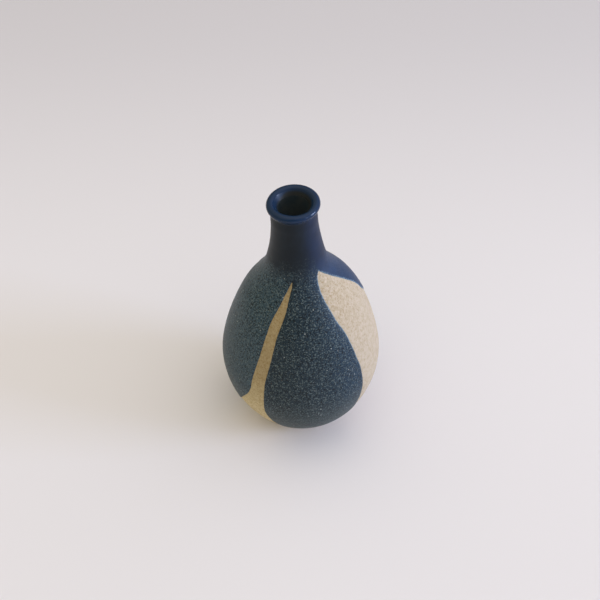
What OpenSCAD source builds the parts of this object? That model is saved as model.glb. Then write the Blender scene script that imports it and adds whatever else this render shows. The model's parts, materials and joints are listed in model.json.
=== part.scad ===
// Ceramic bud vase: one thrown stoneware piece with its separate glaze coats.
// Millimetres, +Z up, origin on the floor at the centre of the foot, front towards -Y.

/* [Belly] */
// Largest radius of the clay belly
belly_r = 40.3; // [38:0.1:43]
// Height of the widest level of the belly
belly_z = 40.5; // [38:0.5:44]
// Radius of the round lower wall, seen from the side
lower_wall_r = 52.5; // [50:0.5:55]
// Height of the bevel around the foot
foot_bevel = 1.5; // [0.5:0.1:3]

/* [Shoulder] */
// Radius half way up the sloping shoulder
shoulder_r = 25.6; // [25:0.1:26]
// Height half way up the sloping shoulder
shoulder_z = 86; // [85:0.5:87]
// Slope of the shoulder, in degrees from upright
shoulder_slope = 37; // [36:0.5:38]
// Lean of the neck towards the left, in degrees
neck_lean = 2.9; // [0:0.1:3.2]

/* [Neck and lip] */
// Clay radius at the narrowest level of the neck
neck_r = 10.6; // [10:0.1:12]
// Height of the narrowest level, along the neck
neck_z = 129.5; // [122:0.5:130]
// Height of the middle of the rolled lip, along the neck
lip_z = 138.4; // [137:0.1:142]
// Radius from the neck's axis to the middle of the roll
lip_centre_r = 10.6; // [10:0.1:11]
// Radius of the roll itself
lip_roll_r = 1.5; // [1.3:0.1:1.6]

/* [Hollow] */
// Radius of the finished throat, glaze included
throat_r = 7.3; // [6.5:0.1:7.5]
// Height of the roof of the hollow, where the throat leaves it
roof_z = 99; // [97:0.5:101]
// Wall thickness of the belly
wall = 4.5; // [3.5:0.1:5]
// Thickness of the floor
floor_t = 6; // [5:0.1:8]

/* [Glaze] */
// Thickness of each glaze coat
coat = 0.35; // [0.25:0.05:0.5]
// Height of the glaze line above the foot
glaze_line = 5; // [4:0.5:8]

/* [Hidden] */
$fn = 96;

arc_steps = 22;
curve_steps = 14;
roll_steps = 14;
reach = 400;
above_lip_z = lip_z + 20;

// The neck leans about this point of the upright axis
lean_z = 64;

// The shoulder's top and the neck's foot lie inside each other, and their slopes cross
shoulder_top_z = 103.5;
neck_foot_r = 18.1;
neck_foot_z = 94.3;
neck_foot_slope = 26;

// Lengths of the curve handles that shape the wall between its fixed points
belly_handle = 9.2;
shoulder_handle = 13.4;
neck_foot_handle = 12.8;
neck_waist_handle = 6.4;
flare_handle = 5;
roll_handle = 2.5;
hollow_belly_handle = 24;
hollow_roof_handle = 18;

// The rolled lip starts under its outside and ends on its inside, where the funnel begins
roll_start = -50;
roll_end = 145;

// Edges of the dips: [heading, tilt, offset]. The coat lies on the near side of a plane whose
// normal points to that heading, in degrees from the front, tilted up by the second value.
front_right_edge = [130, 12, 17.2];
front_right_low_edge = [140.5, 0, 0];
front_left_edge = [-108, 8, 12.9];
front_left_low_edge = [-117, 0, 0];
left_front_edge = [50.5, -5, -2.9];
left_low_edge = [45, -30, -17.7];
left_far_edge = [150, -2, -0.9];
back_right_edge = [27.5, -10.7, -5.4];
back_far_edge = [-43, -1.6, -1.3];
neck_edge = [-40, -84, -106];

clay = [0.72, 0.63, 0.51];
cobalt = [0.10, 0.15, 0.28];
slate = [0.19, 0.27, 0.35];
grey_slate = [0.20, 0.27, 0.31];
liner_brown = [0.16, 0.13, 0.11];

// Curves run upwards in [radius, height]. Each point is moved out by t along the wall's normal.
function polar(r, angle) = r * [cos(angle), sin(angle)];
function unit(v) = v / norm(v);
function outward(tangent) = unit([tangent[1], -tangent[0]]);
function arc(centre, r, from, to, steps) =
    [for (i = [0 : steps]) centre + polar(r, from + (to - from) * i / steps)];
function bezier(p, s) =
    pow(1 - s, 3) * p[0] + 3 * s * pow(1 - s, 2) * p[1] + 3 * s * s * (1 - s) * p[2] + pow(s, 3) * p[3];
function bezier_tangent(p, s) =
    pow(1 - s, 2) * (p[1] - p[0]) + 2 * s * (1 - s) * (p[2] - p[1]) + s * s * (p[3] - p[2]);
function curve(p, t) =
    [for (i = [0 : curve_steps]) let (s = i / curve_steps) bezier(p, s) + t * outward(bezier_tangent(p, s))];
function tail(points) = [for (i = [1 : len(points) - 1]) points[i]];

// Lower wall: one round arc from the floor to the belly
lower_centre = [belly_r - lower_wall_r, belly_z];
function lower_angle(t, z) = asin((z - belly_z) / (lower_wall_r + t));
function lower_wall(t, z) = arc(lower_centre, lower_wall_r + t, lower_angle(t, z), 0, arc_steps);

// Shoulder: from the belly to the straight slope, which runs on inside the neck
slope_line = [-sin(shoulder_slope), cos(shoulder_slope)];
shoulder_point = [shoulder_r, shoulder_z];
shoulder_top = shoulder_point + slope_line * (shoulder_top_z - shoulder_z) / slope_line[1];
shoulder_curve = [
    [belly_r, belly_z],
    [belly_r, belly_z + belly_handle],
    shoulder_point - shoulder_handle * slope_line,
    shoulder_point
];

// Neck: from its foot inside the shoulder to the waist, and from the waist out to the roll
neck_foot = [neck_foot_r, neck_foot_z];
waist = [neck_r, neck_z];
neck_curve = [
    neck_foot,
    neck_foot + neck_foot_handle * [-sin(neck_foot_slope), cos(neck_foot_slope)],
    waist - [0, neck_waist_handle],
    waist
];
lip_centre = [lip_centre_r, lip_z];
flare_curve = [
    waist,
    waist + [0, flare_handle],
    lip_centre + polar(lip_roll_r, roll_start) - polar(roll_handle, roll_start + 90),
    lip_centre + polar(lip_roll_r, roll_start)
];
function roll(t) = arc(lip_centre, lip_roll_r + t, roll_start, roll_end, roll_steps);

// The funnel inside the lip: a cone whose slope runs on from the roll
function funnel_z(t, r) =
    let (start = lip_centre + polar(lip_roll_r + t, roll_end)) start[1] + (start[0] - r) / tan(roll_end);

// Throat radius in the clay and, one coat further in, in the finished pot
function bore_r(t) = throat_r + coat - t;

throat_top_z = funnel_z(coat, bore_r(0));

// The hollow's wall: the lower wall's arc, then a roof that closes onto the throat
hollow_r = lower_wall_r - wall;
roof_end = [throat_r / 2, roof_z];
hollow_curve = [
    [belly_r - wall, belly_z],
    [belly_r - wall, belly_z + hollow_belly_handle],
    roof_end + [hollow_roof_handle, -hollow_roof_handle / 2],
    roof_end
];

module lean() {
    translate([0, 0, lean_z]) rotate([0, -neck_lean, 0]) translate([0, 0, -lean_z]) children();
}

module revolve(points) {
    rotate_extrude() polygon(points);
}

// Belly and shoulder, upright
module upright_solid(t) {
    top = shoulder_top + t * outward(slope_line);
    wall_line = concat(lower_wall(t, foot_bevel), tail(curve(shoulder_curve, t)), [top]);
    foot_r = wall_line[0][0] - foot_bevel;
    revolve(concat([[0, 0], [foot_r, 0]], wall_line, [[0, top[1]]]));
}

// Neck and lip, with the funnel inside the lip
module leaning_solid(t) {
    neck_line = concat(curve(neck_curve, t), tail(curve(flare_curve, t)), tail(roll(t)));
    lean() revolve(concat([[0, neck_line[0][1]]], neck_line, [[0, funnel_z(t, 0)]]));
}

module outer_solid(t) {
    upright_solid(t);
    leaning_solid(t);
}

// The hollow inside the belly together with the throat, up to a height along the neck
module hollow_solid(t, top_z) {
    r_low = hollow_r - t;
    floor_z = floor_t + t;
    wall_line = concat(
        arc(lower_centre, r_low, asin((floor_z - belly_z) / r_low), 0, arc_steps),
        tail(curve(hollow_curve, -t)));
    revolve(concat([[0, floor_z]], wall_line, [[0, wall_line[len(wall_line) - 1][1]]]));
    lean() translate([0, 0, lean_z]) cylinder(r = bore_r(t), h = top_z - lean_z);
}

// Everything on the near side of a dip's edge plane
module dipped(edge) {
    rotate([0, 0, edge[0] - 90]) rotate([0, -edge[1], 0])
        translate([edge[2] - reach, -reach / 2, -reach / 2]) cube(reach);
}

module outer_coat() {
    difference() {
        outer_solid(coat);
        outer_solid(0);
    }
}

module lobe(edges) {
    difference() {
        intersection() {
            outer_coat();
            intersection_for(edge = edges) dipped(edge);
            translate([-reach / 2, -reach / 2, glaze_line]) cube(reach);
        }
        dipped(neck_edge);
    }
}

front_edges = [front_right_edge, front_right_low_edge, front_left_edge, front_left_low_edge];
left_edges = [left_front_edge, left_low_edge, left_far_edge];
back_edges = [back_right_edge, back_far_edge];

// The thrown clay: foot, belly, shoulder, neck and rolled lip in one wall
module stoneware_body() {
    color(clay) difference() {
        outer_solid(0);
        hollow_solid(0, above_lip_z);
    }
}

// The coat poured inside, over the whole inner wall up to the funnel
module liner_glaze() {
    color(liner_brown) difference() {
        hollow_solid(0, throat_top_z);
        hollow_solid(coat, above_lip_z);
    }
}

// The dip over the lip and neck, from the funnel down to the shoulder
module neck_glaze() {
    color(cobalt) difference() {
        intersection() {
            outer_coat();
            dipped(neck_edge);
        }
        hollow_solid(0, above_lip_z);
    }
}

module front_glaze_lobe() {
    color(slate) lobe(front_edges);
}

module left_glaze_lobe() {
    color(grey_slate) difference() {
        lobe(left_edges);
        intersection_for(edge = front_edges) dipped(edge);
    }
}

module back_glaze_lobe() {
    color(cobalt) difference() {
        lobe(back_edges);
        intersection_for(edge = front_edges) dipped(edge);
        intersection_for(edge = left_edges) dipped(edge);
    }
}

stoneware_body();
liner_glaze();
neck_glaze();
front_glaze_lobe();
left_glaze_lobe();
back_glaze_lobe();
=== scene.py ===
"""Ceramic bud vase: the clay, its glaze coats and a plain studio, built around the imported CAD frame.

Metres, +Z up, front towards -Y. An azimuth is in degrees from the front, positive towards +X.
Every surface point has an azimuth and a place on the wall's section line, which runs from the
foot's edge up the outside, over the lip, down the throat and along the hollow to the floor's middle.
"""

import json
import math

import bpy
import numpy as np
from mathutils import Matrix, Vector, noise


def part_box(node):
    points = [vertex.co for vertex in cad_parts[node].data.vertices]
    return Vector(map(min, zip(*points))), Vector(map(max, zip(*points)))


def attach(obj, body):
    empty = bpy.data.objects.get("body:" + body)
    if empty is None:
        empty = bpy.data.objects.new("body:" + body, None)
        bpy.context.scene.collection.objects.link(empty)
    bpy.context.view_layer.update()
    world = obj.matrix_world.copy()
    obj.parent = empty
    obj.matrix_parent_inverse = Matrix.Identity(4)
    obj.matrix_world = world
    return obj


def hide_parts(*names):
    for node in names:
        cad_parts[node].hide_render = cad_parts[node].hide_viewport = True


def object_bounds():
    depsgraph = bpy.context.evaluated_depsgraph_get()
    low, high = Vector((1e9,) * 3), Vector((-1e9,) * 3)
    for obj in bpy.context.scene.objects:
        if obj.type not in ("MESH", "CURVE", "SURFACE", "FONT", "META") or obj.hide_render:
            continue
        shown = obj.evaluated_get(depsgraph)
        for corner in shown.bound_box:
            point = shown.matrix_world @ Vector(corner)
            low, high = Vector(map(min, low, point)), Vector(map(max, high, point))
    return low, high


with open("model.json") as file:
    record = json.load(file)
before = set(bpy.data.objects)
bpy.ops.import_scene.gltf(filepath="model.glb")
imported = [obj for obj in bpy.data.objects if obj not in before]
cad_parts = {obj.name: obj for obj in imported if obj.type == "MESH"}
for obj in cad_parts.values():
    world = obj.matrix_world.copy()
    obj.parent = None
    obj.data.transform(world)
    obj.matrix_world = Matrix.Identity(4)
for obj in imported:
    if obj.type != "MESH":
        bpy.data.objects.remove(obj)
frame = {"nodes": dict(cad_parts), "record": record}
cad_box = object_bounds()

MM = 0.001

# ---------------------------------------------------------------- the frame

# The neck leans about a point of the upright axis. Both come from the throat's mount
throat = next(mount for mount in frame["record"]["mounts"] if mount["name"] == "throat")
throat_axis = Vector(throat["axis"])
throat_place = Vector(throat["pos_m"])
LEAN = math.atan2(-throat_axis.x, throat_axis.z)
LEAN_Z = throat_place.z - throat_place.x / throat_axis.x * throat_axis.z

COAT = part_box("stoneware_body")[0].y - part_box("front_glaze_lobe")[0].y
GLAZE_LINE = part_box("front_glaze_lobe")[0].z
FLOOR_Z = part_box("liner_glaze")[0].z
TOP_Z = cad_box[1].z

# The wall bends from upright to leaning between these heights
BEND_LOW = 50 * MM
BEND_HIGH = 100 * MM

# Rings of CAD vertices: how finely they are told apart, and how many vertices a full one has
RING_STEP = 0.01 * MM
RING_COUNT = 30
UPRIGHT_RINGS = (0, 94 * MM)
LEANING_RINGS = (103 * MM, 150 * MM)
RING_GAP = 6 * MM
SAME_RING = 0.05 * MM


def cad_rings(node, lean, heights, side=0):
    """[radius, height] of each full ring of a CAD node's vertices about the axis, between two heights.

    Side 1 takes only the walls that face out, and side -1 those that face the axis."""
    vertices = frame["nodes"][node].data.vertices
    points = np.array([vertex.co for vertex in vertices])
    normals = np.array([vertex.normal for vertex in vertices])
    along = points[:, 2] - LEAN_Z
    x = points[:, 0] * math.cos(lean) + along * math.sin(lean)
    z = along * math.cos(lean) - points[:, 0] * math.sin(lean) + LEAN_Z
    outward = normals[:, 0] * x + normals[:, 1] * points[:, 1]
    kept = (z >= heights[0]) & (z <= heights[1]) & (outward * side >= 0)
    rings = np.column_stack([np.hypot(x, points[:, 1]), z])[kept]
    _, ring, counts = np.unique(np.round(rings / RING_STEP), axis=0,
                                return_inverse=True, return_counts=True)
    means = [np.bincount(ring.ravel(), column) / counts for column in rings.T]
    return np.column_stack(means)[counts >= RING_COUNT]


def trace(rings, start):
    """The rings in order along one wall, each the nearest to the one before, until a gap."""
    line = [np.array(start)]
    left = np.array(rings)
    while len(left):
        distance = np.hypot(*(left - line[-1]).T)
        nearest = distance.argmin()
        if distance[nearest] > RING_GAP:
            break
        if distance[nearest] > SAME_RING:
            line.append(left[nearest])
        left = np.delete(left, nearest, axis=0)
    return np.array(line)


def smooth_line(points, spacing):
    """A smooth curve through points, as evenly spaced points."""
    step = np.hypot(*np.diff(points, axis=0).T)
    knots = np.concatenate([[0], np.cumsum(step)])
    slopes = np.gradient(points, knots, axis=0)
    places = np.linspace(0, knots[-1], max(2, round(knots[-1] / spacing)) + 1)
    cell = np.clip(np.searchsorted(knots, places, side="right") - 1, 0, len(step) - 1)
    width = step[cell][:, None]
    t = (places - knots[cell])[:, None] / width
    return (
        (1 + 2 * t) * (1 - t) ** 2 * points[cell]
        + t * (1 - t) ** 2 * width * slopes[cell]
        + t * t * (3 - 2 * t) * points[cell + 1]
        - t * t * (1 - t) * width * slopes[cell + 1]
    )


# ------------------------------------------------------- the wall's section

upright = cad_rings("stoneware_body", 0, UPRIGHT_RINGS, 1)
leaning = cad_rings("stoneware_body", LEAN, LEANING_RINGS)
inside = cad_rings("stoneware_body", 0, (FLOOR_Z - RING_STEP, UPRIGHT_RINGS[1]), -1)
outer_low = trace(upright, upright[upright[:, 1].argmin()])
outer_high = trace(leaning, leaning[leaning[:, 1].argmin()])
hollow = trace(inside, inside[inside[:, 1].argmin()])[::-1]
bore_r = outer_high[-1, 0]

LINE_STEP = 0.1 * MM
outer_line = smooth_line(np.vstack([outer_low[1:], outer_high]), LINE_STEP)
bore_line = smooth_line(np.array([outer_line[-1], (bore_r, BEND_HIGH), hollow[0]]), LINE_STEP)
hollow_line = smooth_line(hollow, LINE_STEP)
floor_line = smooth_line(np.array([hollow[-1], (0, FLOOR_Z)]), LINE_STEP)
section = np.vstack([outer_low[:1], outer_line, bore_line[1:], hollow_line[1:], floor_line[1:]])
section_s = np.concatenate([[0], np.cumsum(np.hypot(*np.diff(section, axis=0).T))])
section_tangent = np.gradient(section, section_s, axis=0)

# Places along the section line
FUNNEL_END = section_s[len(outer_line)]
SECTION_END = section_s[-1]
CREST = section_s[section[:, 1].argmax()]


def place_at(height):
    """The place on the outer wall at a height."""
    outside = section_s <= CREST
    return float(np.interp(height, section[outside, 1], section_s[outside]))


def on_section(s, column):
    return np.interp(s, section_s, column)


# ------------------------------------------------------------- the surface

# A thrown pot is never quite true: it is slightly oval and carries a faint spiral from the fingers
OVAL = 0.14 * MM
OVAL_TWIST = 60 * MM
LOBED = 0.06 * MM
LOBED_TWIST = 25 * MM
SPIRAL = 0.015 * MM
SPIRAL_PITCH = 5.6 * MM
FOOT_FADE = 12 * MM
LIP_WAVE = 0.12 * MM

# The wall strays a little to the left between the first and the last of these heights
SWAY = 0.4 * MM
SWAY_HEIGHTS = (72 * MM, 98 * MM, 118 * MM)


def smoothstep(low, high, value):
    t = np.clip((value - low) / (high - low), 0, 1)
    return t * t * (3 - 2 * t)


def hand(azimuth, z):
    """How far the potter's hand moved the wall from a true shape."""
    turn = np.radians(azimuth)
    grown = smoothstep(0, FOOT_FADE, z)
    neck = smoothstep(BEND_LOW, BEND_HIGH, z)
    oval = OVAL * np.sin(2 * turn + 0.7 + z / OVAL_TWIST)
    lobed = LOBED * np.sin(3 * turn + 2.1 - z / LOBED_TWIST)
    spiral = SPIRAL * np.sin(turn + 2 * math.pi * z / SPIRAL_PITCH)
    return grown * (oval * (1 - 0.6 * neck) + lobed + spiral * (1 - 0.5 * neck))


def surface(azimuth, s, offset):
    """Points of the wall, offset metres off the clay along its normal."""
    azimuth, s, offset = np.broadcast_arrays(azimuth, s, offset)
    r = on_section(s, section[:, 0])
    z = on_section(s, section[:, 1])
    along_r = on_section(s, section_tangent[:, 0])
    along_z = on_section(s, section_tangent[:, 1])
    length = np.hypot(along_r, along_z)
    off = offset + np.where(s < FUNNEL_END, hand(azimuth, z), 0)
    wave = LIP_WAVE * smoothstep(BEND_HIGH, TOP_Z, z) * np.sin(np.radians(azimuth) * 2 + 2.4)
    r = np.maximum(r + off * along_z / length, 0)
    z = z - off * along_r / length + wave
    x = r * np.sin(np.radians(azimuth))
    y = -r * np.cos(np.radians(azimuth))
    bend = LEAN * smoothstep(BEND_LOW, BEND_HIGH, z)
    up = z - LEAN_Z
    sway = SWAY * (smoothstep(*SWAY_HEIGHTS[:2], z) - smoothstep(*SWAY_HEIGHTS[1:], z))
    leaned_x = x * np.cos(bend) - up * np.sin(bend) - sway
    leaned_z = LEAN_Z + x * np.sin(bend) + up * np.cos(bend)
    return np.stack([leaned_x, y, leaned_z], axis=-1)


# ---------------------------------------------------------- the glaze edges

# Each dip's edge, as pairs of a height in millimetres and an azimuth in degrees. Past a window's tip
# the edges on its two sides cross, because the dips overlap there
FRONT_RIGHT = ((0, 46.5), (10, 47.5), (28, 48.2), (34, 49.2), (44, 50), (53, 49.4), (61, 47.2),
               (69, 45.1), (76, 42.8), (82, 39.3), (88, 37.6), (92, 36.9), (97, 37.3), (99.5, 38.3),
               (102, 40.3), (104.7, 46.4), (108, 56))
BACK_NEAR = ((0, 132), (20, 128), (45, 121), (60, 117.5), (66, 114.5), (71, 108.5), (75, 102), (78, 98.6),
             (81, 97.2), (84.5, 93.8), (90, 85.8), (96.5, 71.5), (101, 58), (104.7, 46.4), (108, 36))
FRONT_LEFT = ((0, -8), (8, -13), (12, -17.5), (16, -21.5), (19, -24), (22.5, -25.4), (27, -27.2),
              (41, -27.4), (55, -26.7), (62, -25.2), (70, -23.8), (77.5, -22), (83, -19.2), (89, -15.2),
              (95, -11.6), (100, -7.9), (103.6, -6.9), (108, -4.5))
LEFT_NEAR = ((0, -94), (6, -84), (14, -69), (20, -60), (23, -56.2), (31, -48.2), (36.5, -43.1),
             (40, -40.4), (43, -39), (49, -38.2), (57, -36.7), (65.5, -34.8), (74.5, -33), (81.5, -31),
             (86.5, -28.4), (91, -24), (96, -18.5), (101, -10.8), (103.6, -6.9), (108, 1))
LEFT_FAR = ((0, -116), (10, -118), (41, -119.5), (70, -121.5), (90, -125.5), (97, -129), (110, -138))
BACK_FAR = ((0, 222), (10, 225), (41, 227), (70, 228), (90, 230), (97, 231), (110, 234))

# The neck's dip ends on a slanting line: its height at the front-left, and how far it drops behind
NECK_EDGE_Z = 106.9 * MM
NECK_EDGE_RISE = 1.6 * MM
NECK_EDGE_HIGH_SIDE = -40

# Rounding of the coats' corners, and their ragged edges: [size of the noise, how far it moves them]
TIP_ROUND = 0.5 * MM
LINE_ROUND = 4 * MM
RAGGED = ((7 * MM, 0.16 * MM), (1.6 * MM, 0.12 * MM), (0.7 * MM, 0.07 * MM))
GLAZE_LINE_WAVE = 0.7 * MM

# Grid of the coats: it starts a little below the glaze line, and its rows are closer around the lip
COLUMNS = 432
ROW_STEP = 0.58 * MM
LIP_ROW_STEP = 0.33 * MM
BELOW_LINE = 2 * MM
LIP_DEPTH = 10 * MM
SNAP = 0.05 * MM

# An edge's curve is drawn with a degree as half a millimetre, in steps of a fifth of a millimetre
EDGE_SCALE = (1, 0.5)
EDGE_STEP = 0.2


def edge_at(edge, z):
    """Azimuth of an edge at heights, on a smooth curve through its points."""
    points = np.array(edge, float)
    line = smooth_line(points * EDGE_SCALE, EDGE_STEP) / EDGE_SCALE
    return np.interp(z / MM, line[:, 0], line[:, 1])


def edge_distance(azimuth, edge, z, r, s):
    """Distance along the surface to an edge, positive where the azimuth is greater."""
    edge_azimuth = edge_at(edge, z)
    across = np.radians(azimuth[None, :] - edge_azimuth[:, None]) * r[:, None]
    sideways = np.radians(np.gradient(edge_azimuth, s)) * r
    return across / np.sqrt(1 + sideways[:, None] ** 2)


def smooth_min(a, b, size):
    overlap = np.clip(size - np.abs(a - b), 0, None) / size
    return np.minimum(a, b) - overlap ** 2 * size / 4


def smooth_max(a, b, size):
    return -smooth_min(-a, -b, size)


def noise_at(points, size, seed):
    """Smooth noise between -1 and 1 at each point."""
    shift = Vector((seed * 7.3, seed * 3.1, seed * 5.7))
    flat = points.reshape(-1, 3) / size
    values = [noise.noise(Vector(point) + shift) for point in flat]
    return np.array(values).reshape(points.shape[:-1])


lip_start = place_at(TOP_Z - LIP_DEPTH)
coat_s = np.concatenate([
    np.arange(place_at(GLAZE_LINE - BELOW_LINE), lip_start, ROW_STEP),
    np.linspace(lip_start, FUNNEL_END, round((FUNNEL_END - lip_start) / LIP_ROW_STEP)),
])
coat_z = on_section(coat_s, section[:, 1])
coat_r = on_section(coat_s, section[:, 0])
azimuths = np.arange(COLUMNS) * 360 / COLUMNS - 180
turned = azimuths % 360

# Distance inside each dip, over the whole grid
front = np.minimum(-edge_distance(azimuths, FRONT_RIGHT, coat_z, coat_r, coat_s),
                   edge_distance(azimuths, FRONT_LEFT, coat_z, coat_r, coat_s))
left = np.minimum(-edge_distance(azimuths, LEFT_NEAR, coat_z, coat_r, coat_s),
                  edge_distance(azimuths, LEFT_FAR, coat_z, coat_r, coat_s))
back = np.minimum(edge_distance(turned, BACK_NEAR, coat_z, coat_r, coat_s),
                  -edge_distance(turned, BACK_FAR, coat_z, coat_r, coat_s))

grid_points = surface(azimuths[None, :], coat_s[:, None], 0.0)
ragged = sum(move * noise_at(grid_points, size, seed) for seed, (size, move) in enumerate(RAGGED))
line_wave = GLAZE_LINE_WAVE * np.sin(np.radians(azimuths) * 3 + 0.6)
above_line = coat_s[:, None] - place_at(GLAZE_LINE) - line_wave[None, :] - GLAZE_LINE_WAVE

covered = smooth_max(smooth_max(front, left, TIP_ROUND), back, TIP_ROUND) + ragged
covered = smooth_min(covered, above_line + ragged, LINE_ROUND)
neck_line_z = NECK_EDGE_Z + NECK_EDGE_RISE * np.cos(np.radians(azimuths - NECK_EDGE_HIGH_SIDE))
neck_place = np.array([place_at(z) for z in neck_line_z])
above_neck_edge = coat_s[:, None] - neck_place[None, :]
covered = np.maximum(covered, above_neck_edge)


# ------------------------------------------------------------ mesh building

# A coat thickens over the taper, and its inner side is sunk into the clay so that no gap shows
TAPER = 0.75 * MM
THINNEST = 0.02 * MM
SUNK = 0.05 * MM
EDGE_REACH = 20 * MM
SHARP_ANGLE = math.radians(50)


def coat_thickness(inside):
    """Thickness of a coat by distance inside its edge: it rounds off to nothing on bare clay."""
    t = 1 - np.clip(inside / TAPER, 0, 1)
    return np.maximum(COAT * np.sqrt(1 - t * t), THINNEST)


def new_piece(name, points, faces, nodes, attributes):
    """A smooth mesh object that stands for CAD nodes and rides on the part's one body."""
    mesh = bpy.data.meshes.new(name)
    mesh.from_pydata(points.tolist(), [], faces)
    mesh.validate()
    mesh.shade_smooth()
    mesh.set_sharp_from_angle(angle=SHARP_ANGLE)
    for key, values in attributes.items():
        layer = mesh.attributes.new(key, "FLOAT", "POINT")
        layer.data.foreach_set("value", np.asarray(values, np.float32))
    piece = bpy.data.objects.new(name, mesh)
    bpy.context.scene.collection.objects.link(piece)
    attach(piece, "root")
    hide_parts(*nodes)
    return piece


def clip(polygon, field):
    """The part of a polygon where a field is not negative. A corner is a tuple of its place and fields."""
    kept = []
    for corner, after in zip(polygon, polygon[1:] + polygon[:1]):
        a, b = corner[field], after[field]
        if a >= 0:
            kept.append(corner)
        if (a > 0 > b) or (a < 0 < b):
            share = a / (a - b)
            kept.append(tuple(p + (q - p) * share for p, q in zip(corner, after)))
    return kept


def cell_corners(field):
    """A field's values at the four corners of every cell of the grid."""
    following = np.roll(field, -1, axis=1)
    return np.stack([field[:-1], following[:-1], following[1:], field[1:]])


def cut_grid(fields):
    """Cuts the coats' grid where every field is not negative.

    Returns the azimuth, place and first field of each vertex, and the faces."""
    fields = [np.where(np.abs(field) < SNAP, 0, field) for field in fields]
    rows, columns = fields[0].shape
    cells = [cell_corners(field) for field in fields]
    whole = np.min([cell.min(axis=0) for cell in cells], axis=0) >= 0
    reached = np.min([cell.max(axis=0) for cell in cells], axis=0) > 0
    index = {}
    table = []
    faces = []

    def vertex(corner):
        key = (round(corner[0] % 360, 4), round(corner[1] / MM, 4))
        if key not in index:
            index[key] = len(table)
            table.append(corner)
        return index[key]

    def at(row, column):
        wrapped = column % columns
        turn = 360 * (column // columns)
        return (azimuths[wrapped] + turn, coat_s[row]) + tuple(f[row, wrapped] for f in fields)

    for row, column in zip(*np.nonzero(whole | reached)):
        quad = [at(row, column), at(row, column + 1), at(row + 1, column + 1), at(row + 1, column)]
        if whole[row, column]:
            faces.append([vertex(corner) for corner in quad])
            continue
        for triangle in (quad[:3], [quad[0], quad[2], quad[3]]):
            for field in range(2, 2 + len(fields)):
                triangle = clip(triangle, field)
            face = list(dict.fromkeys(vertex(corner) for corner in triangle))
            if len(face) > 2:
                faces.append(face)
    table = np.array(table)
    return table[:, 0], table[:, 1], table[:, 2], faces


def close_shell(faces, count):
    """Adds a second sheet, count vertices on, and the rim that joins the two."""
    edges = {(a, b) for face in faces for a, b in zip(face, face[1:] + face[:1])}
    rim = [[b, a, a + count, b + count] for a, b in edges if (b, a) not in edges]
    under = [[corner + count for corner in reversed(face)] for face in faces]
    return faces + under + rim


def coat_piece(name, fields):
    """One glaze coat: a closed shell that lies on the clay, cut out of the grid."""
    azimuth, s, inside, faces = cut_grid(fields)
    used = sorted({corner for face in faces for corner in face})
    renumber = {old: new for new, old in enumerate(used)}
    faces = [[renumber[corner] for corner in face] for face in faces]
    azimuth, s, inside = azimuth[used], s[used], inside[used]
    points = np.vstack([surface(azimuth, s, coat_thickness(inside)), surface(azimuth, s, -SUNK)])
    attributes = coat_attributes(azimuth, s, inside)
    doubled = {key: np.concatenate([values, values]) for key, values in attributes.items()}
    return new_piece(name, points, close_shell(faces, len(used)), [name], doubled)


def coat_attributes(azimuth, s, inside):
    """What the glaze materials need to know of each point."""
    z = on_section(s, section[:, 1])
    return {
        "edge_mm": np.clip(inside, 0, EDGE_REACH) / MM,
        "to_right": np.sin(np.radians(azimuth)),
        "to_front": np.cos(np.radians(azimuth)),
        "height_mm": z / MM,
        "mouth_mm": np.clip(s - CREST, 0, None) / MM,
    }


def revolved(rows, columns, offset):
    """Points and faces of a sheet of revolution. A row on the axis is a single point."""
    turns = np.arange(columns) * 360 / columns - 180
    points = []
    ids = []
    for s in rows:
        first = len(points)
        on_axis = on_section(s, section[:, 0]) < RING_STEP
        ring = surface(turns[:1] if on_axis else turns, s, offset)
        points.extend(ring)
        ids.append([first] * columns if on_axis else list(range(first, first + columns)))
    faces = []
    for low, high in zip(ids, ids[1:]):
        for i in range(columns):
            j = (i + 1) % columns
            faces.append(list(dict.fromkeys([low[i], low[j], high[j], high[i]])))
    return np.array(points), faces, ids[0]


# -------------------------------------------------------------------- clay

BODY_COLUMNS = 300
BODY_STEP = 0.9 * MM
BODY_INSIDE_STEP = 2.2 * MM
LINER_COLUMNS = 160
LINER_STEP = 1.6 * MM


def stoneware():
    """The thrown body: foot, wall, neck and lip outside, throat, hollow and floor inside."""
    outside = np.linspace(0, FUNNEL_END, round(FUNNEL_END / BODY_STEP))
    inside = np.linspace(FUNNEL_END, SECTION_END, round((SECTION_END - FUNNEL_END) / BODY_INSIDE_STEP))
    points, faces, foot_ring = revolved(np.concatenate([outside, inside[1:]]), BODY_COLUMNS, 0.0)
    middle = len(points)
    points = np.vstack([points, [(0, 0, 0)]])
    for a, b in zip(foot_ring, foot_ring[1:] + foot_ring[:1]):
        faces.append([b, a, middle])
    return new_piece("stoneware_body", points, faces, ["stoneware_body"], {})


def liner():
    """The coat poured inside, from the funnel down to the middle of the floor."""
    rows = np.linspace(FUNNEL_END, SECTION_END, round((SECTION_END - FUNNEL_END) / LINER_STEP))
    points, faces, _ = revolved(rows, LINER_COLUMNS, COAT)
    under, _, _ = revolved(rows, LINER_COLUMNS, -SUNK)
    faces = close_shell(faces, len(points))
    return new_piece("liner_glaze", np.vstack([points, under]), faces, ["liner_glaze"], {})


# --------------------------------------------------------------- materials

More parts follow.
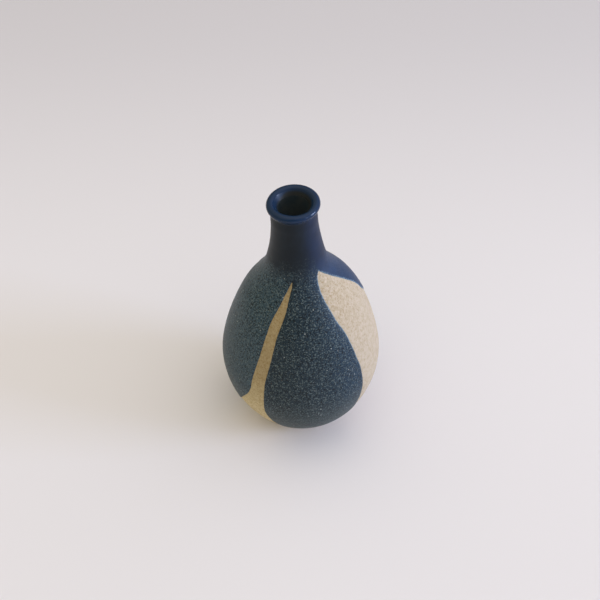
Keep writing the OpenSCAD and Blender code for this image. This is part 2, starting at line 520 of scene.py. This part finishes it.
class Look:
    """A node material, with short calls that add nodes to it."""

    def __init__(self, name):
        self.material = bpy.data.materials.new(name)
        self.material.use_nodes = True
        self.tree = self.material.node_tree
        self.shader = self.tree.nodes["Principled BSDF"]
        self.place = self.add("ShaderNodeTexCoord").outputs["Object"]

    def add(self, kind, inputs=None, **settings):
        node = self.tree.nodes.new(kind)
        for key, value in settings.items():
            setattr(node, key, value)
        for key, value in (inputs or {}).items():
            self.put(node.inputs[key], value)
        return node

    def put(self, socket, value):
        if isinstance(value, bpy.types.NodeSocket):
            self.tree.links.new(value, socket)
        else:
            socket.default_value = value

    def attribute(self, name):
        return self.add("ShaderNodeAttribute", attribute_name=name).outputs["Fac"]

    def azimuth(self):
        """The azimuth in degrees, between -180 and 180."""
        turn = self.math("ARCTAN2", self.attribute("to_right"), self.attribute("to_front"))
        return self.math("DEGREES", turn)

    def noise(self, size, detail=3.0, roughness=0.55):
        """Noise whose features are about size metres across."""
        node = self.add("ShaderNodeTexNoise", {"Vector": self.place, "Scale": 1 / size,
                                               "Detail": detail, "Roughness": roughness})
        return node.outputs["Fac"]

    def spots(self, size):
        """Distance to the nearest of scattered points about size metres apart, in shares of size."""
        node = self.add("ShaderNodeTexVoronoi", {"Vector": self.place, "Scale": 1 / size})
        return node.outputs["Distance"]

    def math(self, operation, a, b=0.0, clamp=False):
        return self.add("ShaderNodeMath", {0: a, 1: b}, operation=operation, use_clamp=clamp).outputs[0]

    def step(self, value, low, high, to_low=0.0, to_high=1.0):
        """A smooth step of value from low to high."""
        node = self.add("ShaderNodeMapRange", {"Value": value, "From Min": low, "From Max": high,
                                               "To Min": to_low, "To Max": to_high},
                        interpolation_type="SMOOTHSTEP")
        return node.outputs["Result"]

    def mix(self, share, a, b, blend="MIX"):
        node = self.add("ShaderNodeMix", data_type="RGBA", blend_type=blend)
        self.put(node.inputs[0], share)
        self.put(node.inputs[6], a if isinstance(a, bpy.types.NodeSocket) else (*a, 1))
        self.put(node.inputs[7], b if isinstance(b, bpy.types.NodeSocket) else (*b, 1))
        return node.outputs[2]

    def bump(self, height, distance, strength=1.0, before=None):
        node = self.add("ShaderNodeBump", {"Height": height, "Distance": distance, "Strength": strength})
        if before is not None:
            self.put(node.inputs["Normal"], before)
        return node.outputs["Normal"]

    def finish(self, **sockets):
        for key, value in sockets.items():
            self.put(self.shader.inputs[key.replace("_", " ")], value)
        return self.material


# Clay: ochre on the left, with painted light there: lighter low down as the floor's bounce, and painted
# shade higher up; sandy on the right
BOUNCE_LIT_LOW_CLAY = (0.65, 0.54, 0.315)
SHADED_HIGH_CLAY = (0.385, 0.298, 0.162)
RIGHT_CLAY = (0.520, 0.430, 0.314)
IRON_SPECK = (0.20, 0.13, 0.07)

# What the clay's colour is multiplied by in its clouds and grains
CLOUD_TINT = (0.82, 0.78, 0.68)
OCHRE_TINT = (0.80, 0.73, 0.60)
PALE_TINT = (1.15, 1.16, 1.18)


def clay_look():
    """Bare stoneware: pale sandy beige with ochre grains, iron specks and fine pits."""
    look = Look("bare_clay")
    place = look.add("ShaderNodeSeparateXYZ", {0: look.place})
    left_side = look.step(place.outputs["X"], 12 * MM, -4 * MM)
    # Painted light on the left side: lighter low down as the floor's bounce, painted shade higher up
    high = look.step(place.outputs["Z"], 20 * MM, 62 * MM)
    ground = look.mix(high, BOUNCE_LIT_LOW_CLAY, SHADED_HIGH_CLAY)
    ground = look.mix(left_side, RIGHT_CLAY, ground)
    mottle = look.step(look.noise(2.6 * MM, 3), 0.40, 0.65, 0, 0.5)
    colour = look.mix(mottle, ground, CLOUD_TINT, "MULTIPLY")
    grainy = look.step(place.outputs["X"], 12 * MM, 38 * MM, 1.0, 0.45)
    grain = look.noise(1.0 * MM, 2, 0.8)
    ochre = look.math("MULTIPLY", look.step(grain, 0.52, 0.64), grainy)
    colour = look.mix(ochre, colour, OCHRE_TINT, "MULTIPLY")
    pale = look.math("MULTIPLY", look.step(grain, 0.46, 0.34), grainy)
    colour = look.mix(pale, colour, PALE_TINT, "MULTIPLY")
    speck = look.math("MULTIPLY", look.step(look.spots(2.2 * MM), 0.08, 0.15, 1, 0),
                      look.step(look.noise(8 * MM), 0.48, 0.58))
    colour = look.mix(look.math("MULTIPLY", speck, 0.55), colour, IRON_SPECK)
    pit = look.step(look.spots(1.3 * MM), 0.08, 0.22)
    normal = look.bump(grain, 0.05 * MM, 0.8)
    normal = look.bump(pit, 0.05 * MM, 0.6, normal)
    return look.finish(Base_Color=colour, Roughness=0.88, Normal=normal, Specular_IOR_Level=0.25)


# Colours of the smooth glaze above, of the speckled glaze below and of the liner, with painted shade for
# inside the mouth and a painted floor reflection for the glaze low down
NAVY_BLACK = (0.004, 0.009, 0.015)
NECK_COBALT = (0.001, 0.010, 0.035)
SHOULDER_COBALT = (0.013, 0.034, 0.082)
LIP_COBALT = (0.007, 0.025, 0.066)
# Painted shade inside the mouth
MOUTH_SHADE = (0.014, 0.017, 0.018)
SLATE = (0.014, 0.030, 0.044)
BLUE_SLATE = (0.008, 0.032, 0.062)
LEFT_SLATE = (0.035, 0.069, 0.094)
# Painted reflection of the floor on the glaze low down
FLOOR_REFLECTION_SLATE = (0.040, 0.064, 0.066)
PALE_FLECK = (0.135, 0.175, 0.175)
DARK_FLECK = (0.003, 0.006, 0.009)
WHITE_FLECK = (0.45, 0.48, 0.46)
FRINGE = (0.20, 0.30, 0.36)
RUST_FLECK = (0.10, 0.07, 0.045)
LIGHT_TINT = (1.3, 1.4, 1.4)
LINER_DARK = (0.030, 0.045, 0.055)
LINER_LIGHT = (0.048, 0.058, 0.060)

# Specular level of the glazes outside
GLAZE_SHINE = 0.22

# Millimetres: where the speckle is full and where it ends, and how much lower it ends behind
SPECKLE_LOW = 96
SPECKLE_HIGH = 115
SMOOTH_BEHIND = 45


def speckled_glaze(look, body):
    """Colour of the glaze, and its fleck noise: smooth blue-black or cobalt above, speckled below.

    body is the speckled colour on the left. Behind, the speckle starts further down."""
    azimuth = look.azimuth()
    height = look.attribute("height_mm")
    right = look.math("MULTIPLY", look.step(azimuth, 8, 55), look.step(azimuth, 165, 120))
    cobalt = look.mix(look.step(height, 98, 112), SHOULDER_COBALT, NECK_COBALT)
    cloud = look.noise(5 * MM, 3)
    smooth = look.mix(right, NAVY_BLACK, cobalt)
    smooth = look.mix(look.step(cloud, 0.35, 0.65, 0.0, 0.5), smooth, LIGHT_TINT, "MULTIPLY")

    colour = look.mix(look.step(azimuth, 12, 50), body, BLUE_SLATE)
    # Painted reflection of the floor: the speckled glaze turns grey-green towards the bottom
    colour = look.mix(look.step(height, 50, 12), colour, FLOOR_REFLECTION_SLATE)
    fleck = look.noise(0.74 * MM, 2, 0.7)
    pale = look.step(fleck, 0.51, 0.61)
    dark = look.step(look.noise(0.8 * MM, 2, 0.7), 0.50, 0.39)
    colour = look.mix(look.math("MULTIPLY", pale, 0.75), colour, PALE_FLECK)
    colour = look.mix(look.math("MULTIPLY", dark, 0.92), colour, DARK_FLECK)
    rust = look.math("MULTIPLY", look.step(look.spots(3.4 * MM), 0.08, 0.14, 1, 0),
                     look.step(look.noise(14 * MM), 0.54, 0.6))
    colour = look.mix(look.math("MULTIPLY", rust, 0.5), colour, RUST_FLECK)
    white = look.math("MULTIPLY", look.step(look.spots(2.7 * MM), 0.08, 0.13, 1, 0),
                      look.step(look.noise(11 * MM), 0.52, 0.58))
    colour = look.mix(look.math("MULTIPLY", white, 0.8), colour, WHITE_FLECK)
    loose = look.math("ADD", height, look.math("MULTIPLY", look.math("SUBTRACT", cloud, 0.5), 20))
    behind = look.math("MAXIMUM", look.step(azimuth, 42, 62), look.step(azimuth, -127, -139))
    loose = look.math("ADD", loose, look.math("MULTIPLY", behind, SMOOTH_BEHIND))
    speckled = look.step(loose, SPECKLE_HIGH, SPECKLE_LOW)
    return look.mix(speckled, smooth, colour), fleck


def neck_look():
    """The neck's dip: satin blue-black on the neck, glossy cobalt on the lip, painted shade inside the
    mouth.
    """
    look = Look("cobalt_glaze")
    height = look.attribute("height_mm")
    # Painted light and shade: the cobalt runs further into the mouth on its lit left side, so the painted
    # shade starts sooner on the right
    across = look.add("ShaderNodeSeparateXYZ", {0: look.place}).outputs["X"]
    further = look.step(across, -6 * MM, -12 * MM, 0, 1.9)
    inward = look.math("SUBTRACT", look.attribute("mouth_mm"), further)
    mouth = look.step(inward, 1.5, 3.2)
    colour, _ = speckled_glaze(look, SLATE)
    colour = look.mix(look.step(height, 134.5, 137.5), colour, LIP_COBALT)
    # Painted shade inside the mouth
    colour = look.mix(mouth, colour, MOUTH_SHADE)
    normal = look.bump(look.noise(2.4 * MM, 2), 0.03 * MM, 0.4)
    polish = look.math("MULTIPLY", look.step(height, 136, 138),
                       look.step(look.attribute("mouth_mm"), 2.2, 1.4))
    rough = look.step(polish, 0, 1, 0.46, 0.13)
    return look.finish(Base_Color=colour, Roughness=rough, Normal=normal, Specular_IOR_Level=GLAZE_SHINE)


def lobe_look(name, body, fringed):
    """A lower dip, with a pale crumbly fringe along the bare edge between two azimuths."""
    look = Look(name)
    azimuth = look.azimuth()
    colour, fleck = speckled_glaze(look, body)
    crumbs = look.math("MULTIPLY", look.math("SUBTRACT", fleck, 0.5), 2.4)
    thin = look.step(look.math("ADD", look.attribute("edge_mm"), crumbs), 0.65, 0.15)
    beside = look.math("MULTIPLY", look.step(azimuth, fringed[0] - 8, fringed[0]),
                       look.step(azimuth, fringed[1] + 8, fringed[1]))
    beside = look.math("MULTIPLY", beside, look.step(look.attribute("height_mm"), 15, 75, 0.15, 0.7))
    colour = look.mix(look.math("MULTIPLY", thin, beside), colour, FRINGE)
    normal = look.bump(look.noise(2.4 * MM, 3), 0.04 * MM, 0.5)
    normal = look.bump(fleck, 0.02 * MM, 0.5, normal)
    gloss = look.step(fleck, 0.3, 0.7, 0.41, 0.53)
    return look.finish(Base_Color=colour, Roughness=gloss, Normal=normal, Specular_IOR_Level=GLAZE_SHINE)


def liner_look():
    """The liner: a dark greenish-black satin glaze."""
    look = Look("liner_glaze")
    cloud = look.step(look.noise(4 * MM, 4), 0.35, 0.7)
    colour = look.mix(cloud, LINER_DARK, LINER_LIGHT)
    normal = look.bump(look.noise(1.5 * MM), 0.04 * MM, 0.5)
    return look.finish(Base_Color=colour, Roughness=0.3, Normal=normal)


# ------------------------------------------------------------------ pieces

stoneware().data.materials.append(clay_look())
liner().data.materials.append(liner_look())
coat_piece("neck_glaze", [covered, above_neck_edge]).data.materials.append(neck_look())
lobes = {
    "front_glaze_lobe": ("speckled_slate_glaze", [front - left, front - back], SLATE, (20, 60)),
    "left_glaze_lobe": ("speckled_grey_glaze", [left - front, left - back], LEFT_SLATE, (60, 80)),
    "back_glaze_lobe": ("back_glaze", [back - front, back - left], SLATE, (30, 105)),
}
for lobe_name, (slot, shares, body, fringed) in lobes.items():
    lobe = coat_piece(lobe_name, [covered, -above_neck_edge, *shares])
    lobe.data.materials.append(lobe_look(slot, body, fringed))

# ------------------------------------------------------------------ studio

FLOOR_HALF = 8.0
FLOOR_CELLS = 8
FLOOR_NEAR = (0.80, 0.785, 0.82)
# Painted shade: the floor's colour darkens towards the back
FLOOR_FAR_SHADED = (0.62, 0.605, 0.64)
FLOOR_FADE = (0.02, 0.42)
VIEW_ELEVATION = math.radians(47.2)
VIEW_DISTANCE = 0.554
VIEW_ANGLE = math.radians(30)
AIM = Vector((-0.6 * MM, 0, 74.3 * MM))


def studio_floor():
    steps = np.linspace(-FLOOR_HALF, FLOOR_HALF, FLOOR_CELLS + 1)
    points = [(x, y, 0) for y in steps for x in steps]
    side = FLOOR_CELLS + 1
    faces = [[j * side + i, j * side + i + 1, (j + 1) * side + i + 1, (j + 1) * side + i]
             for j in range(FLOOR_CELLS) for i in range(FLOOR_CELLS)]
    mesh = bpy.data.meshes.new("studio_floor")
    mesh.from_pydata(points, [], faces)
    look = Look("studio_floor")
    # Painted shade: the floor darkens towards the back
    back = look.add("ShaderNodeSeparateXYZ", {0: look.place}).outputs["Y"]
    tone = look.mix(look.step(back, *FLOOR_FADE), FLOOR_NEAR, FLOOR_FAR_SHADED)
    mesh.materials.append(look.finish(Base_Color=tone, Roughness=0.8, Specular_IOR_Level=0.1))
    floor = bpy.data.objects.new("studio_floor", mesh)
    bpy.context.scene.collection.objects.link(floor)


# The window: a soft box to the right, low and a little to the front of the vase
WINDOW_AZIMUTH = 82
WINDOW_ELEVATION = 13
WINDOW_DISTANCE = 2.6
WINDOW_SIZE = (0.85, 1.05)
WINDOW_POWER = 50
WINDOW_COLOUR = (0.55, 0.67, 1.0)
WINDOW_AIM = Vector((0, 0, 0.05))


def heading(azimuth, elevation):
    """The direction at an azimuth and elevation in degrees."""
    turn = math.radians(azimuth)
    rise = math.radians(elevation)
    return Vector((math.sin(turn) * math.cos(rise), -math.cos(turn) * math.cos(rise), math.sin(rise)))


def soft_light(name, azimuth, size, power, reflection_only=False):
    """A soft box at an azimuth around the vase, turned towards it."""
    light = bpy.data.lights.new(name, "AREA")
    light.shape = "RECTANGLE"
    light.size, light.size_y = size
    light.energy = power
    light.color = WINDOW_COLOUR
    away = heading(azimuth, WINDOW_ELEVATION)
    box = bpy.data.objects.new(name, light)
    box.location = WINDOW_AIM + WINDOW_DISTANCE * away
    box.rotation_euler = (-away).to_track_quat("-Z", "Y").to_euler()
    box.visible_camera = False
    box.visible_diffuse = not reflection_only
    bpy.context.scene.collection.objects.link(box)


# Two panes that only show as reflections: the window's bright core, and a small one beside it
CORE_SIZE = (0.34, 0.80)
CORE_POWER = 36
GLINT_AZIMUTH = 54
GLINT_SIZE = (0.25, 0.50)
GLINT_POWER = 6

# The room's light: a bright ceiling, darker walls, cool on the window's side and warm opposite
CEILING = (1.32, 1.22, 1.08)
WALLS = (0.03, 0.025, 0.01)
WINDOW_GLOW = (0.70, 0.72, 0.80)
WARM_GLOW = (0.36, 0.34, 0.22)
BACKDROP = (0.70, 0.68, 0.69)


def room():
    """The room's own light. The camera itself sees a plain pale backdrop instead."""
    world = bpy.data.worlds.new("room")
    bpy.context.scene.world = world
    world.use_nodes = True
    tree = world.node_tree
    split = tree.nodes.new("ShaderNodeSeparateXYZ")
    tree.links.new(tree.nodes.new("ShaderNodeTexCoord").outputs["Generated"], split.inputs[0])

    def product(a, b):
        node = tree.nodes.new("ShaderNodeMath")
        node.operation = "MULTIPLY"
        for socket, value in zip(node.inputs, (a, b)):
            put(socket, value)
        return node.outputs[0]

    def blend(share, a, b, kind="MIX"):
        mix = tree.nodes.new("ShaderNodeMix")
        mix.data_type = "RGBA"
        mix.blend_type = kind
        mix.clamp_factor = True
        for socket, value in zip((mix.inputs[0], mix.inputs[6], mix.inputs[7]), (share, a, b)):
            put(socket, value)
        return mix.outputs[2]

    def put(socket, value):
        if isinstance(value, bpy.types.NodeSocket):
            tree.links.new(value, socket)
        else:
            socket.default_value = (*value, 1) if isinstance(value, tuple) else value

    colour = blend(product(split.outputs["Z"], split.outputs["Z"]), WALLS, CEILING)
    colour = blend(split.outputs["X"], colour, WINDOW_GLOW, "ADD")
    colour = blend(product(split.outputs["X"], -1), colour, WARM_GLOW, "ADD")
    seen = tree.nodes.new("ShaderNodeLightPath").outputs["Is Camera Ray"]
    tree.links.new(blend(seen, colour, BACKDROP), tree.nodes["Background"].inputs["Color"])


def camera():
    lens = bpy.data.cameras.new("camera")
    lens.sensor_fit = "HORIZONTAL"
    lens.angle = VIEW_ANGLE
    eye = bpy.data.objects.new("camera", lens)
    away = Vector((0, -math.cos(VIEW_ELEVATION), math.sin(VIEW_ELEVATION)))
    eye.location = AIM + away * VIEW_DISTANCE
    eye.rotation_euler = (-away).to_track_quat("-Z", "Y").to_euler()
    bpy.context.scene.collection.objects.link(eye)
    bpy.context.scene.camera = eye


bpy.context.scene.view_settings.view_transform = "Standard"
studio_floor()
room()
soft_light("window", WINDOW_AZIMUTH, WINDOW_SIZE, WINDOW_POWER)
soft_light("window_core", WINDOW_AZIMUTH, CORE_SIZE, CORE_POWER, reflection_only=True)
soft_light("glint", GLINT_AZIMUTH, GLINT_SIZE, GLINT_POWER, reflection_only=True)
camera()
